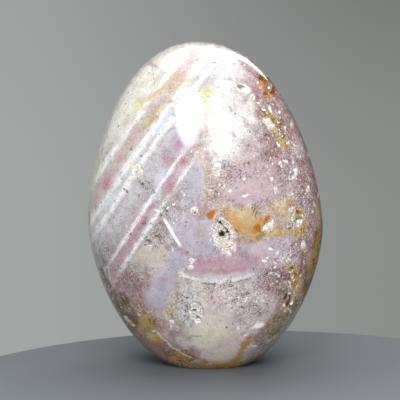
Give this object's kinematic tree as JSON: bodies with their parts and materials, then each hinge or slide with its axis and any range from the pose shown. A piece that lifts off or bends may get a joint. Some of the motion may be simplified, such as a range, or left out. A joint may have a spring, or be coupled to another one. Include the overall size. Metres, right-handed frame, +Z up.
{
  "type": "ocean jasper",
  "caption": "Polished egg-like jasper stone, taller than wide, banded and spotted, with small open hollows lined with quartz, standing on a small flat foot.",
  "frame": {"origin": "middle of the stone's box in X and Y, on the surface that its foot stands on", "axes": "+Z up through the crown, +X to the right of the face, -Y out of the face; the stone is tallest along Z and thinnest along Y"},
  "size_m": [0.0804, 0.0619, 0.11],
  "materials": {
    "jasper": "polished",
    "vug_quartz": "rough crystals"
  },
  "bodies": {
    "root": {"stone": "jasper", "crust_heart": "vug_quartz", "crust_right": "vug_quartz", "crust_lower_right": "vug_quartz", "crust_lower_middle": "vug_quartz", "crust_back": "vug_quartz"}
  },
  "joints": []
}
